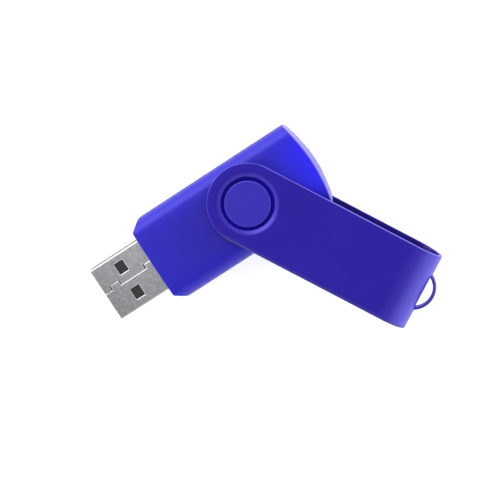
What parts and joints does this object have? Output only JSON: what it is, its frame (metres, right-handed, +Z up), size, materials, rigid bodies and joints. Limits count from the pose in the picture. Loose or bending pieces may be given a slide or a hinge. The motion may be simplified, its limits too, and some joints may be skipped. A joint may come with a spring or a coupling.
{
  "type": "usb flash drive",
  "caption": "Swivel USB flash drive: a rounded plastic stick with a USB-A plug, between the legs of a bent metal cover that turns about its round boss.",
  "frame": {"origin": "On the swivel axis, in the plane that the drive rests on (the outer face of the lower boss and of the cover's lower leg).", "axes": "+Z up along the swivel axis, +X from the pivot to the plug's tip, +Y across the body. At rest the cover's closed end points 119.3 degrees from +X towards +Y."},
  "size_m": [0.0624, 0.0487, 0.0106],
  "materials": {
    "body_plastic": "satin moulded blue plastic",
    "cover_paint": "satin dark blue coating on bent sheet steel",
    "plug_steel": "satin nickel-plated sheet",
    "insulator_plastic": "matte black moulded plastic",
    "contact_gold": "gold-plated spring contact",
    "board_laminate": "green solder mask on glass-fibre laminate",
    "pad_gold": "gold-plated copper",
    "chip_epoxy": "matte black moulding epoxy",
    "tinned_leads": "dull tin plating",
    "ceramic_base": "unglazed ceramic",
    "lid_steel": "satin nickel lid",
    "capacitor_ceramic": "fired tan ceramic",
    "resistor_film": "black glazed film",
    "led_lens": "clear to milky epoxy",
    "solder": "bright solder"
  },
  "bodies": {
    "drive": {"upper_shell": "body_plastic", "lower_shell": "body_plastic", "plug_shell": "plug_steel", "plug_insulator": "insulator_plastic", "contact_power": "contact_gold", "contact_data_minus": "contact_gold", "contact_data_plus": "contact_gold", "contact_ground": "contact_gold", "circuit_board": "board_laminate", "circuit_pads": "pad_gold", "flash_chip": "chip_epoxy", "flash_chip_leads": "tinned_leads", "controller_chip": "chip_epoxy", "controller_leads": "tinned_leads", "voltage_regulator": "chip_epoxy", "regulator_leads": "tinned_leads", "crystal_base": "ceramic_base", "crystal_lid": "lid_steel", "capacitors": "capacitor_ceramic", "resistors": "resistor_film", "chip_terminals": "tinned_leads", "activity_led": "led_lens", "solder_joints": "solder"},
    "cover": {"swivel_cover": "cover_paint"}
  },
  "joints": [
    {"name": "cover_swivel", "type": "hinge", "parent": "drive", "child": "cover", "pos_m": [0, 0, 0.0053], "axis": [0, 0, 1], "continuous": true}
  ]
}
